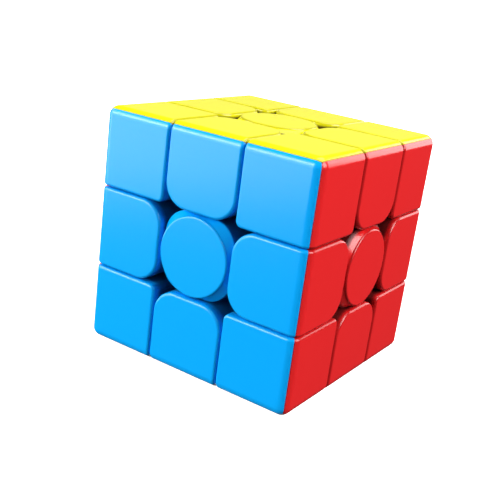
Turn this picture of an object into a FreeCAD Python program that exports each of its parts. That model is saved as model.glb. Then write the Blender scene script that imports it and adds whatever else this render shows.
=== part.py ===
"""Twisty puzzle cube with coloured moulded shells, three layers each way, built as an assembly.

The frame's origin is the centre of the core, where all six turning axes meet: +X to the right face,
-Y to the front face and +Z to the top face. Twenty-six blocks surround a six-armed core. Eight corner
blocks have three coloured shells on a foot, twelve edge blocks have two coloured shells on a foot, and
six centre blocks have a base, a snap-in cap and a screw, washer and spring that hold them to the core.

The feet interlock on spheres about the origin. Outside OUTER_BALL the layers part at LAYER, between the
two balls they part at MID_LAYER, and inside INNER_BALL they part at INNER_LAYER. Each of these planes
and spheres is a surface of revolution about every turning axis, so any face can turn.
"""

import FreeCAD
import Part

import itertools
import math
import os

# Driving dimensions, in millimetres.
SIDE = 56.0  # across the whole cube
LAYER = 9.5  # turning plane of a face layer, from the origin
GAP = 0.3  # running gap between neighbouring blocks
EDGE_ROUND = 2.3  # rounding along the cube's own edges
SEAM_ROUND = 0.7  # rounding where a block meets its neighbour
CORNER_TILE_ROUND = 1.5  # the corner block's inner corner, seen on its tile
EDGE_TILE_ROUND = 5.6  # the edge block's two inner corners, seen on its tile
WALL = 1.25  # moulded wall of the coloured shells

OUTER_BALL = 20.5  # the shells end here and the feet's flanges begin
INNER_BALL = 16.0  # the flanges end here and the narrow feet begin
FOOT_BALL = 12.0  # inner end of all the feet
MID_LAYER = 7.2  # turning plane between the two balls
INNER_LAYER = 5.0  # turning plane inside the inner ball
PLATE = 1.3  # thickness of a foot's plate, which closes its shells

HUB_PLACE = 18.5  # middle of the hub that the shells plug into
HUB_HALF = 3.1  # half width of the hub
STEM_RADIUS = 3.0  # stem from a foot's flange to its hub
POST_RADIUS = 2.2  # post under each tile
PEG_RADIUS = 1.2  # peg at the end of the post
PEG_LENGTH = 1.9
PEG_FIT = 0.03  # room round a peg or a plate

CAP_RADIUS = 9.05  # round top of a centre cap
CAP_THICKNESS = 2.0  # over which the cap flares from round to square
CAP_RIM = 0.5  # plain round part of the cap, above its flare
CAP_ROUND = 0.45  # rounding round the cap's top
CAP_SEAM = 0.05  # gap between a cap and its base
CAP_LEG_RADIUS = 7.4  # outside of the cap's ring of legs
CAP_LEG_WALL = 1.1
CAP_LEG_LENGTH = 2.4
CAP_LEG_SLOT = 5.0  # gap between one leg and the next
CAP_ARC_FLAT = 0.05  # straight piece that stands in each quarter of the cap's round outline
BASE_HALF = 9.3  # half width of a centre base
BASE_ROUND = 6.0  # its four corners
POCKET_RADIUS = 7.5  # pocket for the cap's legs
POCKET_FLOOR = 22.3
STALK_RADIUS = 4.7  # stalk round the spring
STALK_END = 7.6
SOCKET_RADIUS = 3.45  # hole in the stalk's end for the core's arm

ARM_RADIUS = 3.3  # arms of the core
ARM_END = 10.4
ARM_FIT = 0.2  # room beyond the end of an arm
CORE_BALL = 6.2  # middle of the core
SCREW_BORE_END = 2.4  # inner end of the screw bores

SPRING_SEAT = 12.2  # where a spring stands
SPRING_BORE = 3.6  # hole that the spring lies in
SPRING_RADIUS = 2.75  # to the middle of the wire
SPRING_WIRE = 0.3  # radius of the wire
SPRING_TURNS = 5.0
TOUCH = 0.02  # gap left between hardware that presses together
WASHER_SEAT = 19.1
WASHER_THICKNESS = 0.5
WASHER_RADIUS = 3.4
WASHER_FIT = 0.1  # room between a washer and its screw
SCREW_RADIUS = 1.25
SCREW_TIP = 4.2  # inner end of a screw
SCREW_FIT = 0.05  # room round the screw in the core
SCREW_CLEARANCE = 0.35  # room round the screw in the centre base
SCREW_HEAD_RADIUS = 2.7
SCREW_HEAD_HEIGHT = 1.8
RECESS_HALF_LENGTH = 1.5  # cross recess in the screw's head
RECESS_HALF_WIDTH = 0.35
RECESS_DEPTH = 1.1

# Worked out from the driving dimensions.
FACE = SIDE / 2
SLACK = GAP / 2
NEAR = LAYER + SLACK  # nearest side of an edge or corner block
BESIDE = LAYER - SLACK  # half width of an edge or centre block
UNDERSIDE = FACE - WALL
REACH = SIDE  # longer than anything that a cutting tool has to cross
CAP_SEAT = FACE - CAP_THICKNESS
BASE_TOP = CAP_SEAT - CAP_SEAM
CLOSE = 0.01  # how near a point has to be to count as lying on a face
BLUNT = 0.94  # faces that are turned less than this cosine from each other blend smoothly
OVERLAP = 1.0  # how far joined pieces run into each other

V = FreeCAD.Vector
X_AXIS, Y_AXIS, Z_AXIS = V(1, 0, 0), V(0, 1, 0), V(0, 0, 1)

# Each face: its colour and its outward axis.
FACES = {
    "top": ("yellow", V(0, 0, 1)),
    "bottom": ("white", V(0, 0, -1)),
    "front": ("blue", V(0, -1, 0)),
    "back": ("green", V(0, 1, 0)),
    "right": ("red", V(1, 0, 0)),
    "left": ("orange", V(-1, 0, 0)),
}
LEVELS = {1: "top", 0: "middle", -1: "bottom"}


def turned(shape, z_to, y_to):
    """A copy of shape with its +Z turned to z_to and its +Y to y_to."""
    x_to = y_to.cross(z_to)
    rows = [c for row in zip(x_to, y_to, z_to) for c in (*row, 0)]
    copy = shape.copy()
    copy.Placement = FreeCAD.Placement(FreeCAD.Matrix(*rows, 0, 0, 0, 1))
    return copy


def across(axis):
    """Any row axis at right angles to axis."""
    return Z_AXIS if abs(axis.z) < 0.5 else Y_AXIS


def ball(radius):
    """A ball about the origin, with its seam and poles kept off the +Z side."""
    return turned(Part.makeSphere(radius), X_AXIS, Y_AXIS)


def rod(radius, low, high, x=0.0, y=0.0):
    """A cylinder along Z."""
    return Part.makeCylinder(radius, high - low, V(x, y, low))


def box(low, high):
    """A box between two corners."""
    return Part.makeBox(*(b - a for a, b in zip(low, high)), V(*low))


def corner_arc(x, y, radius, quarter, z):
    """The outline's arc in quarter 0 to 3 of a rounded rectangle, whose sharp corner is at x, y."""
    sx, sy = ((1, 1), (-1, 1), (-1, -1), (1, -1))[quarter]
    middle = V(x - sx * radius, y - sy * radius, z)
    turns = [math.radians(90 * quarter + turn) for turn in (0, 45, 90)]
    return Part.Arc(*(middle + V(math.cos(a), math.sin(a), 0) * radius for a in turns)).toShape()


def outline(low, high, radii, z=0.0):
    """A closed outline at height z.

    radii are for the corners (+,+), (-,+), (-,-) and (+,-), and 0 is sharp.
    """
    corners = [(high[0], high[1]), (low[0], high[1]), (low[0], low[1]), (high[0], low[1])]
    pieces, ends = [], []
    for quarter, ((x, y), radius) in enumerate(zip(corners, radii)):
        if radius:
            arc = corner_arc(x, y, radius, quarter, z)
            pieces.append(arc)
            ends.append((arc.firstVertex().Point, arc.lastVertex().Point))
        else:
            ends.append((V(x, y, z), V(x, y, z)))
    for here, there in zip(ends, ends[1:] + ends[:1]):
        pieces.append(Part.makeLine(here[1], there[0]))
    return Part.Wire(Part.__sortEdges__(pieces))


def prism(low, high, radii, z_low, z_high):
    """An outline carried along Z."""
    return Part.Face(outline(low, high, radii, z_low)).extrude(V(0, 0, z_high - z_low))


def middle_of(edge):
    """The point halfway along an edge."""
    return edge.valueAt((edge.FirstParameter + edge.LastParameter) / 2)


def sharp_edges(shape, chosen):
    """The edges where two faces meet at an angle, and whose middle point passes chosen."""
    found = []
    for edge in shape.Edges:
        point = middle_of(edge)
        normals = [f.normalAt(*f.Surface.parameter(point)) for f in shape.ancestorsOfType(edge, Part.Face)]
        if len(normals) == 2 and abs(normals[0].dot(normals[1])) < BLUNT and chosen(point):
            found.append(edge)
    return found


def rounded(shape, radius, chosen):
    """shape with a rounding on the edges whose middle point passes chosen."""
    return shape.makeFillet(radius, sharp_edges(shape, chosen))


def on_cube_edge(point):
    """True where two of the cube's faces meet."""
    return sum(abs(c - FACE) < CLOSE for c in point) >= 2


def near_cube_face(point):
    """True on a cube face or on the rounding beside it."""
    return max(point) > FACE - EDGE_ROUND / 2


def octant(low):
    """Everything beyond low along X, Y and Z."""
    return box((low, low, low), (REACH, REACH, REACH))


def wedge(half, low):
    """Everything beyond low along Y and Z, and within half of the X = 0 plane."""
    return box((-half, low, low), (half, REACH, REACH))


def pillar(half, low):
    """Everything beyond low along Z, and within half of the Z axis both ways."""
    return box((-half, -half, low), (half, half, REACH))


def face_pyramid():
    """The space that is nearer to the top face than to any other."""
    point = V(0, 0, 0)
    square = ((-REACH, -REACH), (REACH, -REACH), (REACH, REACH), (-REACH, REACH))
    corners = [V(x, y, REACH) for x, y in square]
    base = Part.Face(Part.makePolygon([*corners, corners[0]]))
    sides = [
        Part.Face(Part.makePolygon([point, a, b, point]))
        for a, b in zip(corners, corners[1:] + corners[:1])
    ]
    return Part.Solid(Part.Shell([base, *sides]))


def corner_body(inset):
    """The corner block's plain shape beyond the turning planes, taken in by inset on every side."""
    low, high = NEAR + inset, FACE - inset
    radius = max(CORNER_TILE_ROUND - inset, 0)
    column = prism((low, low), (high, high), (0, 0, radius, 0), low, high)
    side = turned(column, X_AXIS, Z_AXIS)
    front = turned(column, Y_AXIS, X_AXIS)
    return column.common(side).common(front)


def edge_body(inset):
    """The edge block's plain shape beyond the turning planes, taken in by inset on every side."""
    half, low, high = BESIDE - inset, NEAR + inset, FACE - inset
    radius = EDGE_TILE_ROUND - inset
    column = prism((-half, low), (half, high), (0, 0, radius, radius), low, high)
    return column.common(turned(column, Y_AXIS, Z_AXIS))


def moulded(body):
    """A block's outside, rounded along the cube's edges and then along the seams to its neighbours."""
    return rounded(rounded(body, EDGE_ROUND, on_cube_edge), SEAM_ROUND, near_cube_face)


def hollow(body, lining):
    """The coloured shell of a whole block, open towards the core."""
    return moulded(body).cut([lining, ball(OUTER_BALL + SLACK)])


def post(x):
    """The post and peg under a tile, which plug its shell into the foot's hub."""
    hub_top = HUB_PLACE + HUB_HALF
    stand = rod(POST_RADIUS, hub_top, UNDERSIDE + WALL / 2, x, HUB_PLACE)
    return stand.fuse(rod(PEG_RADIUS, hub_top - PEG_LENGTH, hub_top, x, HUB_PLACE))


def socket(x):
    """The hole in the hub for a peg."""
    hub_top = HUB_PLACE + HUB_HALF
    return rod(PEG_RADIUS + PEG_FIT, hub_top - PEG_LENGTH - PEG_FIT, hub_top + OVERLAP, x, HUB_PLACE)


def corner_shell():
    """The top-coloured shell of the corner block at +X, +Y, +Z."""
    tile = hollow(corner_body(0), corner_body(WALL)).common(face_pyramid())
    return tile.fuse(post(HUB_PLACE)).removeSplitter()


def edge_shell():
    """The top-coloured shell of the edge block at +Y, +Z."""
    tile = hollow(edge_body(0), edge_body(WALL)).common(face_pyramid())
    return tile.fuse(post(0)).removeSplitter()


def slice_between(shape, inner, outer):
    """What lies between two balls about the origin."""
    return shape.common(ball(outer)).cut(ball(inner))


def corner_foot():
    """The foot of the corner block at +X, +Y, +Z, with its plate, stem and hub."""
    flange = octant(MID_LAYER + SLACK).common(ball(OUTER_BALL - SLACK))
    foot = octant(INNER_LAYER + SLACK).common(ball(INNER_BALL - SLACK))
    inside = corner_body(WALL + PEG_FIT)
    plate = inside.common(ball(OUTER_BALL + PLATE))
    hub_low, hub_high = HUB_PLACE - HUB_HALF, HUB_PLACE + HUB_HALF
    hub = box((hub_low,) * 3, (hub_high,) * 3)
    diagonal, beside = V(1, 1, 1).normalize(), V(1, -1, 0).normalize()
    stem = turned(rod(STEM_RADIUS, OUTER_BALL, HUB_PLACE * math.sqrt(3)), diagonal, beside)
    whole = flange.fuse([foot, plate, hub, stem.common(inside)]).cut(ball(FOOT_BALL))
    ways = ((Z_AXIS, Y_AXIS), (X_AXIS, Z_AXIS), (Y_AXIS, X_AXIS))
    sockets = [turned(socket(HUB_PLACE), z, y) for z, y in ways]
    return whole.cut(sockets).removeSplitter()


def edge_foot():
    """The foot of the edge block at +Y, +Z, with its plate, stem and hub."""
    wide, narrow = MID_LAYER - SLACK, INNER_LAYER - SLACK
    flange = slice_between(wedge(wide, MID_LAYER + SLACK), INNER_BALL + SLACK, OUTER_BALL - SLACK)
    foot = slice_between(wedge(narrow, INNER_LAYER + SLACK), FOOT_BALL, INNER_BALL - SLACK)
    neck = slice_between(wedge(narrow, MID_LAYER + SLACK), INNER_BALL - OVERLAP, INNER_BALL + OVERLAP)
    plate = slice_between(edge_body(WALL + PEG_FIT), OUTER_BALL + SLACK, OUTER_BALL + PLATE)
    collar = slice_between(wedge(STEM_RADIUS, NEAR + WALL), OUTER_BALL - OVERLAP, OUTER_BALL + OVERLAP)
    hub_low, hub_high = HUB_PLACE - HUB_HALF, HUB_PLACE + HUB_HALF
    hub = box((-HUB_HALF, hub_low, hub_low), (HUB_HALF, hub_high, hub_high))
    diagonal, beside = V(0, 1, 1).normalize(), V(0, 1, -1).normalize()
    stem = turned(rod(STEM_RADIUS, OUTER_BALL, HUB_PLACE * math.sqrt(2)), diagonal, beside)
    whole = flange.fuse([foot, neck, plate, collar, hub, stem])
    sockets = [turned(socket(0), z, y) for z, y in ((Z_AXIS, Y_AXIS), (Y_AXIS, Z_AXIS))]
    return whole.cut(sockets).removeSplitter()


def base_outline(z):
    """The rounded square that a centre base has all the way down."""
    return outline((-BASE_HALF, -BASE_HALF), (BASE_HALF, BASE_HALF), (BASE_ROUND,) * 4, z)


def centre_base():
    """The base of the top centre: a rounded square block on a flange and a hollow stalk."""
    block = Part.Face(base_outline(LAYER)).extrude(V(0, 0, BASE_TOP - LAYER))
    flange = slice_between(pillar(MID_LAYER - SLACK, MID_LAYER), INNER_BALL + SLACK, OUTER_BALL - SLACK)
    stalk = rod(STALK_RADIUS, STALK_END, POCKET_FLOOR)
    outside = block.cut(ball(OUTER_BALL + SLACK)).fuse([flange, stalk])
    return outside.cut(
        [
            rod(POCKET_RADIUS, POCKET_FLOOR, FACE),
            rod(SPRING_BORE, SPRING_SEAT, FACE),
            rod(SCREW_RADIUS + SCREW_CLEARANCE, STALK_END, FACE),
            rod(SOCKET_RADIUS, STALK_END - OVERLAP, ARM_END + ARM_FIT),
        ]
    ).removeSplitter()


def centre_cap():
    """The top centre's cap: a round top that flares to a rounded square, with four curved legs."""
    top = rounded(rod(CAP_RADIUS, FACE - CAP_RIM, FACE), CAP_ROUND, lambda p: p.z > FACE - CLOSE)
    reach = (CAP_RADIUS, CAP_RADIUS)
    back = (-CAP_RADIUS, -CAP_RADIUS)
    rim = outline(back, reach, (CAP_RADIUS - CAP_ARC_FLAT,) * 4, FACE - CAP_RIM)
    flare = Part.makeLoft([base_outline(CAP_SEAT), rim], True, True)
    leg_end = CAP_SEAT - CAP_LEG_LENGTH
    legs = rod(CAP_LEG_RADIUS, leg_end, CAP_SEAT + OVERLAP)
    legs = legs.cut(rod(CAP_LEG_RADIUS - CAP_LEG_WALL, leg_end, CAP_SEAT + OVERLAP))
    half = CAP_LEG_SLOT / 2
    slots = [
        box((-half, -REACH, 0), (half, REACH, CAP_SEAT)),
        box((-REACH, -half, 0), (REACH, half, CAP_SEAT)),
    ]
    return top.fuse([flare, legs.cut(slots)]).removeSplitter()


def core():
    """Six bored arms on a ball."""
    arms = [turned(rod(ARM_RADIUS, 0, ARM_END), axis, across(axis)) for _, axis in FACES.values()]
    bores = [
        turned(rod(SCREW_RADIUS + SCREW_FIT, SCREW_BORE_END, REACH), axis, across(axis))
        for _, axis in FACES.values()
    ]
    return Part.makeSphere(CORE_BALL).fuse(arms).cut(bores).removeSplitter()


def screw():
    """The top centre's tension screw, with a pan head and a cross recess. Its thread is left plain."""
    seat = WASHER_SEAT + WASHER_THICKNESS + TOUCH
    top = seat + SCREW_HEAD_HEIGHT
    head = rounded(rod(SCREW_HEAD_RADIUS, seat, top), SCREW_HEAD_HEIGHT / 2, lambda p: p.z > top - CLOSE)
    shank = rod(SCREW_RADIUS, SCREW_TIP + SCREW_RADIUS / 2, seat)
    tip = Part.makeCone(SCREW_RADIUS / 2, SCREW_RADIUS, SCREW_RADIUS / 2, V(0, 0, SCREW_TIP))
    long, wide = RECESS_HALF_LENGTH, RECESS_HALF_WIDTH
    recess = [
        box((-a, -b, top - RECESS_DEPTH), (a, b, top + OVERLAP)) for a, b in ((long, wide), (wide, long))
    ]
    return head.fuse([shank, tip]).cut(recess).removeSplitter()


def washer():
    """The washer between the top centre's screw head and spring."""
    top = WASHER_SEAT + WASHER_THICKNESS
    return rod(WASHER_RADIUS, WASHER_SEAT, top).cut(rod(SCREW_RADIUS + WASHER_FIT, WASHER_SEAT, top))


def spring():
    """The top centre's compression spring."""
    low, high = SPRING_SEAT + SPRING_WIRE + TOUCH, WASHER_SEAT - SPRING_WIRE - TOUCH
    pitch = (high - low) / SPRING_TURNS
    path = Part.makeHelix(pitch, high - low, SPRING_RADIUS)
    path.translate(V(0, 0, low))
    section = Part.Wire(Part.makeCircle(SPRING_WIRE, V(SPRING_RADIUS, 0, low), Y_AXIS))
    return path.makePipeShell([section], True, True)


def blocks(faces_each):
    """The signs of every block that shows this many faces: 3 for corners and 2 for edges."""
    return [s for s in itertools.product((-1, 0, 1), repeat=3) if sum(map(abs, s)) == faces_each]


def faces_of(signs):
    """The names and outward axes of the faces that a block shows."""
    return [(name, axis) for name, (_, axis) in FACES.items() if axis.dot(V(*signs)) > 0.5]


def place_shell(shape, signs, axis):
    """A corner or edge shell carried to the block with these signs, with its tile facing along axis."""
    other = next(a for _, a in faces_of(signs) if a != axis)
    if sum(map(abs, signs)) == 3 and other.cross(axis).dot(V(*signs)) < 0:
        other = next(a for _, a in faces_of(signs) if a not in (axis, other))
    return turned(shape, axis, other)


def add(nodes, name, shape):
    """Puts a piece in its node."""
    nodes.setdefault(name, []).append(shape)


def assembly():
    """Every node's name and its list of separate pieces."""
    nodes = {"core": [core()]}
    singles = {
        "centre_base": centre_base(),
        "centre_cap": centre_cap(),
        "tension_screw": screw(),
        "tension_washer": washer(),
        "tension_spring": spring(),
    }
    for (face, (_, axis)), (name, shape) in itertools.product(FACES.items(), singles.items()):
        add(nodes, f"{name}_{face}", turned(shape, axis, across(axis)))
    for kind, shown, shell, foot in (
        ("corner", 3, corner_shell(), corner_foot()),
        ("edge", 2, edge_shell(), edge_foot()),
    ):
        for signs in blocks(shown):
            level = LEVELS[signs[2]]
            first = faces_of(signs)[0][1]
            add(nodes, f"{kind}_feet_{level}", place_shell(foot, signs, first))
            for face, axis in faces_of(signs):
                colour = FACES[face][0]
                add(nodes, f"{kind}_shells_{level}_{colour}", place_shell(shell, signs, axis))
    return nodes


def main():
    """Writes one STEP file for each node."""
    os.makedirs("parts", exist_ok=True)
    for name, shapes in assembly().items():
        whole = shapes[0] if len(shapes) == 1 else Part.makeCompound(shapes)
        whole.exportStep(f"parts/{name}.step")
        print(f"{name}: {len(whole.Solids)} solids, {whole.Volume / 1000:.2f} cm3, valid {whole.isValid()}")


main()
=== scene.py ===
"""Looks of a twisty puzzle cube: moulded shells, snap-in caps and the sprung screws under them.

Every length is in millimetres until a mesh is handed over, when it becomes metres. The origin is the
centre of the core. A template piece is built facing +Z and then turned to its face.
"""

import itertools
import logging
import math
from dataclasses import dataclass, replace
from enum import Enum
from typing import Callable, Sequence

import bmesh
import bpy
from mathutils import Euler, Matrix, Vector
from mathutils.geometry import tessellate_polygon


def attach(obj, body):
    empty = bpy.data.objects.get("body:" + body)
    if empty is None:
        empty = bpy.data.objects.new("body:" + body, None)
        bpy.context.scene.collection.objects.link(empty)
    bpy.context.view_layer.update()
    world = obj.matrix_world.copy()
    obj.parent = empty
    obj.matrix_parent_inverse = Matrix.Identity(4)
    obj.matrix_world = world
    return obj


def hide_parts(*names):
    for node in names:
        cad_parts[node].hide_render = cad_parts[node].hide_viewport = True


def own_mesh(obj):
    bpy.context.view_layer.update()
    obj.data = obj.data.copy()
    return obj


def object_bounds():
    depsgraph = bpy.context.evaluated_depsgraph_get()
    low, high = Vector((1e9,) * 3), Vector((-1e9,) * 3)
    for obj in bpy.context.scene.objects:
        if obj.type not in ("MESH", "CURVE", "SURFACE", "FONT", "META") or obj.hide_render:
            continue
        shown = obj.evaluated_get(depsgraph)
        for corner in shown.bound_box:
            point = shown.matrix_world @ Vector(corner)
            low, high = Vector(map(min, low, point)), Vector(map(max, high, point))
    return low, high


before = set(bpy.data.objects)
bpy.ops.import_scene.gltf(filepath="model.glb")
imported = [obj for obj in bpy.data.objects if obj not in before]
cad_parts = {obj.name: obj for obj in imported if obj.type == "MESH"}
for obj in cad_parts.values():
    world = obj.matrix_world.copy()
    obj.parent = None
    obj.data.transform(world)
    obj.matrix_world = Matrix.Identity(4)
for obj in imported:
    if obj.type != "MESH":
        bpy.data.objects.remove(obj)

CAD_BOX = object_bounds()
MM = 0.001
HALF_SIDE = 28.0
LOG = logging.getLogger("puzzle_cube")
# Points are welded on a grid with this many steps in a millimetre.
WELD_STEPS = 5000
SAME_PLACE = 1e-6
# Edges that bend more than this are shown sharp, and large flat faces weigh this much in the shading.
SHARP_DEGREES = 35
FLAT_WEIGHT = 80
# The value on a mesh's points that is 1 on the rims, where wear and painted seam shade show.
RIM = "rim"
Rgb = tuple[float, float, float]
Triple = tuple[float, float, float]
Band = tuple[float, float]
Row = list[Vector]


class Face(Enum):
    """A face of the cube: its outward axis and its shell colour."""

    TOP = ((0, 0, 1), "yellow")
    BOTTOM = ((0, 0, -1), "white")
    FRONT = ((0, -1, 0), "blue")
    BACK = ((0, 1, 0), "green")
    RIGHT = ((1, 0, 0), "red")
    LEFT = ((-1, 0, 0), "orange")

    @property
    def axis(self) -> Vector:
        """The outward direction."""
        return Vector(self.value[0])

    @property
    def colour(self) -> str:
        """The colour of this face's shells."""
        return self.value[1]

    @property
    def word(self) -> str:
        """The face's name in lower case."""
        return self.name.lower()


class Level(Enum):
    """A horizontal layer of blocks: its place along Z and the body that carries it."""

    TOP = (1, "top_layer")
    MIDDLE = (0, "core_and_middle")
    BOTTOM = (-1, "bottom_layer")

    @property
    def body(self) -> str:
        """The CAD body that this layer's blocks ride on."""
        return self.value[1]

    @property
    def word(self) -> str:
        """The layer's name in lower case."""
        return self.name.lower()


def level_of(height: float) -> Level:
    """The layer for a block whose place along Z is 1, 0 or -1."""
    return next(level for level in Level if level.value[0] == round(height))


# ---------------------------------------------------------------- shader graphs


class Wire:
    """A shader value that Python's operators work on by adding Math nodes."""

    def __init__(self, graph: "Graph", socket: bpy.types.NodeSocket) -> None:
        """Wraps a socket of a graph."""
        self.graph = graph
        self.socket = socket

    def maths(self, operation: str, first: "Wire | float", second: "Wire | float") -> "Wire":
        """Adds one Math node.

        Args:
            operation: The node's operation.
            first: The first value.
            second: The second value.

        Returns:
            The node's result.
        """
        return self.graph.add("ShaderNodeMath", {"operation": operation}, {0: first, 1: second})

    def __add__(self, other: "Wire | float") -> "Wire":
        """self + other."""
        return self.maths("ADD", self, other)

    def __radd__(self, other: float) -> "Wire":
        """other + self."""
        return self.maths("ADD", other, self)

    def __sub__(self, other: "Wire | float") -> "Wire":
        """self - other."""
        return self.maths("SUBTRACT", self, other)

    def __rsub__(self, other: float) -> "Wire":
        """other - self."""
        return self.maths("SUBTRACT", other, self)

    def __mul__(self, other: "Wire | float") -> "Wire":
        """self * other."""
        return self.maths("MULTIPLY", self, other)

    def __rmul__(self, other: float) -> "Wire":
        """other * self."""
        return self.maths("MULTIPLY", other, self)

    def __truediv__(self, other: "Wire | float") -> "Wire":
        """self / other."""
        return self.maths("DIVIDE", self, other)

    def __rtruediv__(self, other: float) -> "Wire":
        """other / self."""
        return self.maths("DIVIDE", other, self)

    def ramp(self, low: float, high: float) -> "Wire":
        """0 below low, 1 above high, and a smooth slope between.

        Args:
            low: Where the slope starts.
            high: Where the slope ends.

        Returns:
            The sloped value.
        """
        settings = {"interpolation_type": "SMOOTHSTEP"}
        values = {"Value": self, "From Min": low, "From Max": high}
        return self.graph.add("ShaderNodeMapRange", settings, values)


@dataclass(frozen=True)
class Cloud:
    """A noise pattern.

    Attributes:
        per_mm: How many features fit in a millimetre.
        detail: How many finer layers it has.
        rough: How strong the finer layers are.
    """

    per_mm: float
    detail: float = 2.0
    rough: float = 0.5


class Graph:
    """A material and the nodes that make its finish."""

    def __init__(self, name: str) -> None:
        """Starts a material with only its shader and output.

        Args:
            name: The material's name.
        """
        self.material = bpy.data.materials.new(name)
        self.material.use_nodes = True
        self.tree = self.material.node_tree
        self.shader = self.tree.nodes["Principled BSDF"]

    def add(
        self,
        kind: str,
        settings: dict[str, object] | None = None,
        values: dict[int | str, object] | None = None,
        out: int | str = 0,
    ) -> Wire:
        """Adds a node.

        Args:
            kind: The node's type.
            settings: Its properties, which are set first.
            values: Its sockets' values or links, by name, identifier or number.
            out: The output to hand back, by name or number.

        Returns:
            The chosen output.
        """
        node = self.tree.nodes.new(kind)
        for key, value in (settings or {}).items():
            setattr(node, key, value)
        for key, value in (values or {}).items():
            self.feed(self.find(node, key), value)
        return Wire(self, node.outputs[out])

    @staticmethod
    def find(node: bpy.types.Node, key: int | str) -> bpy.types.NodeSocket:
        """Finds one of a node's inputs.

        Args:
            node: The node.
            key: The input's number, identifier or name.

        Returns:
            The input.
        """
        if isinstance(key, int):
            return node.inputs[key]
        return next((s for s in node.inputs if s.identifier == key), None) or node.inputs[key]

    def feed(self, socket: bpy.types.NodeSocket, value: object) -> None:
        """Links a wire to a socket, or sets the socket's own value.

        Args:
            socket: The input to feed.
            value: A wire, a number, or a colour without its alpha.
        """
        if isinstance(value, Wire):
            self.tree.links.new(value.socket, socket)
        elif isinstance(value, (tuple, list)) and len(value) == 3 and socket.type == "RGBA":
            socket.default_value = (*value, 1.0)
        else:
            socket.default_value = value

    def dress(self, **values: object) -> bpy.types.Material:
        """Feeds the shader's sockets.

        Args:
            values: What each socket gets, under its name with underscores for spaces.

        Returns:
            The finished material.
        """
        for key, value in values.items():
            self.feed(self.shader.inputs[key.replace("_", " ")], value)
        return self.material

    def place(self) -> Wire:
        """The point on the piece, in metres in the row frame."""
        return self.add("ShaderNodeTexCoord", out="Object")

    def noise(self, cloud: Cloud) -> Wire:
        """Noise from 0 to 1.

        Args:
            cloud: The pattern.

        Returns:
            The noise.
        """
        values = {"Vector": self.place(), "Scale": cloud.per_mm / MM}
        values |= {"Detail": cloud.detail, "Roughness": cloud.rough}
        return self.add("ShaderNodeTexNoise", {"noise_dimensions": "3D"}, values)

    def mixed(self, amount: Wire | float, low: object, high: object) -> Wire:
        """A colour between two colours.

        Args:
            amount: 0 for low and 1 for high.
            low: The first colour.
            high: The second colour.

        Returns:
            The mixed colour.
        """
        values = {"Factor_Float": amount, "A_Color": low, "B_Color": high}
        node = self.add("ShaderNodeMix", {"data_type": "RGBA"}, values).socket.node
        return Wire(self, next(s for s in node.outputs if s.identifier == "Result_Color"))

    def bump(self, height: Wire, depth_mm: float, strength: float = 1.0) -> Wire:
        """A surface normal raised by a height.

        Args:
            height: The height from 0 to 1.
            depth_mm: What a height of 1 stands for.
            strength: How much of it shows.

        Returns:
            The bumped normal.
        """
        values = {"Height": height, "Distance": depth_mm * MM, "Strength": strength}
        return self.add("ShaderNodeBump", None, values)

    def sunk(self) -> Wire:
        """How far the point is below the cube's outer faces.

        Returns:
            The depth in millimetres.
        """
        split = self.add("ShaderNodeSeparateXYZ", None, {0: self.place()}).socket.node
        x, y, z = (Wire(self, out).maths("ABSOLUTE", Wire(self, out), 0.0) for out in split.outputs)
        outer = x.maths("MAXIMUM", x.maths("MAXIMUM", x, y), z)
        return HALF_SIDE - outer / MM

    def mark(self, name: str) -> Wire:
        """A named value that the mesh carries on its points."""
        settings = {"attribute_type": "GEOMETRY", "attribute_name": name}
        return self.add("ShaderNodeAttribute", settings, out="Fac")


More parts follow.
